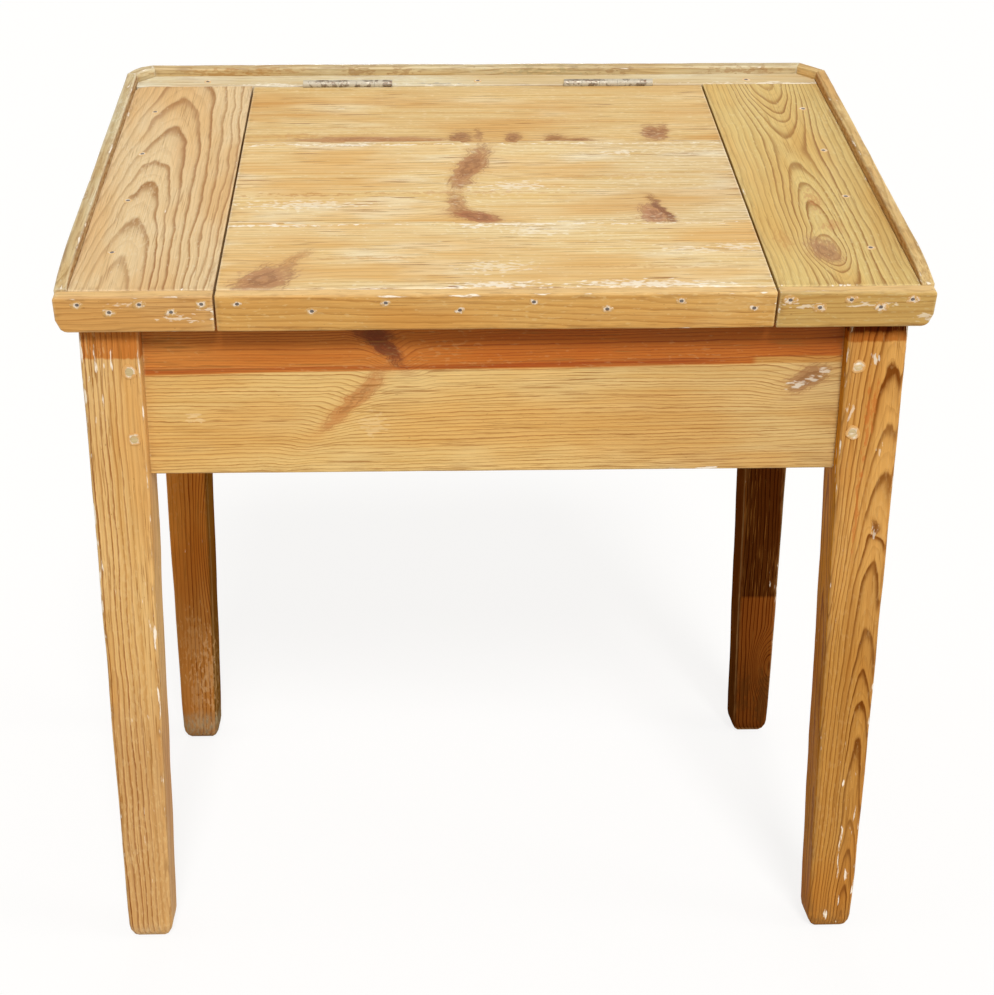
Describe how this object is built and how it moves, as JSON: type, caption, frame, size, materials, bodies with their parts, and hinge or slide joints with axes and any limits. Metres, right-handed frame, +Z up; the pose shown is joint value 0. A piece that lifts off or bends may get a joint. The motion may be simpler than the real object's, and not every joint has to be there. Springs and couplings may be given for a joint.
{
  "type": "school desk with lift lid",
  "caption": "Pine school desk with tapered legs, a pegged frame and a sloping top whose hinged lid lifts over a storage compartment.",
  "frame": {"origin": "on the floor, below the middle of the desk's outline", "axes": "+X to the sitter's right, +Y from the front edge to the back, +Z up"},
  "size_m": [0.794, 0.5297, 0.844],
  "materials": {
    "top_pine": "worn, bare and waxed",
    "edge_pine": "worn, waxed",
    "frame_pine": "worn, waxed",
    "inside_pine": "bare, aged",
    "peg_wood": "bare end grain",
    "hinge_iron": "worn paint over iron",
    "screw_steel": "dull",
    "nail_iron": "rusted"
  },
  "bodies": {
    "desk": {"back_apron": "frame_pine", "back_edge_lip": "edge_pine", "back_left_leg": "frame_pine", "back_right_leg": "frame_pine", "bottom_plank_1": "inside_pine", "bottom_plank_2": "inside_pine", "bottom_plank_3": "inside_pine", "bottom_plank_4": "inside_pine", "edge_lip_nails": "nail_iron", "front_apron": "frame_pine", "front_left_leg": "frame_pine", "front_lipping_nails": "nail_iron", "front_right_leg": "frame_pine", "hinge_rail_screws": "screw_steel", "ledger_nails": "nail_iron", "left_apron": "frame_pine", "left_corner_lip": "edge_pine", "left_edge_lip": "edge_pine", "left_front_lipping": "edge_pine", "left_hinge_pin": "hinge_iron", "left_hinge_rail_leaf": "hinge_iron", "left_ledger": "inside_pine", "left_top_board": "top_pine", "plank_nails": "nail_iron", "rear_rail": "top_pine", "right_apron": "frame_pine", "right_corner_lip": "edge_pine", "right_edge_lip": "edge_pine", "right_front_lipping": "edge_pine", "right_hinge_pin": "hinge_iron", "right_hinge_rail_leaf": "hinge_iron", "right_ledger": "inside_pine", "right_top_board": "top_pine", "tenon_pegs": "peg_wood", "top_board_nails": "nail_iron"},
    "lid": {"batten_screws": "screw_steel", "hinge_lid_screws": "screw_steel", "left_hinge_lid_leaf": "hinge_iron", "lid_back_board": "top_pine", "lid_front_board": "top_pine", "lid_front_lipping": "edge_pine", "lid_left_batten": "inside_pine", "lid_lipping_nails": "nail_iron", "lid_middle_board": "top_pine", "lid_right_batten": "inside_pine", "right_hinge_lid_leaf": "hinge_iron"}
  },
  "joints": [
    {"name": "lid_hinge", "type": "hinge", "parent": "desk", "child": "lid", "pos_m": [0, 0.21619, 0.82552], "axis": [-1, 0, 0], "range_deg": [0, 168]}
  ]
}
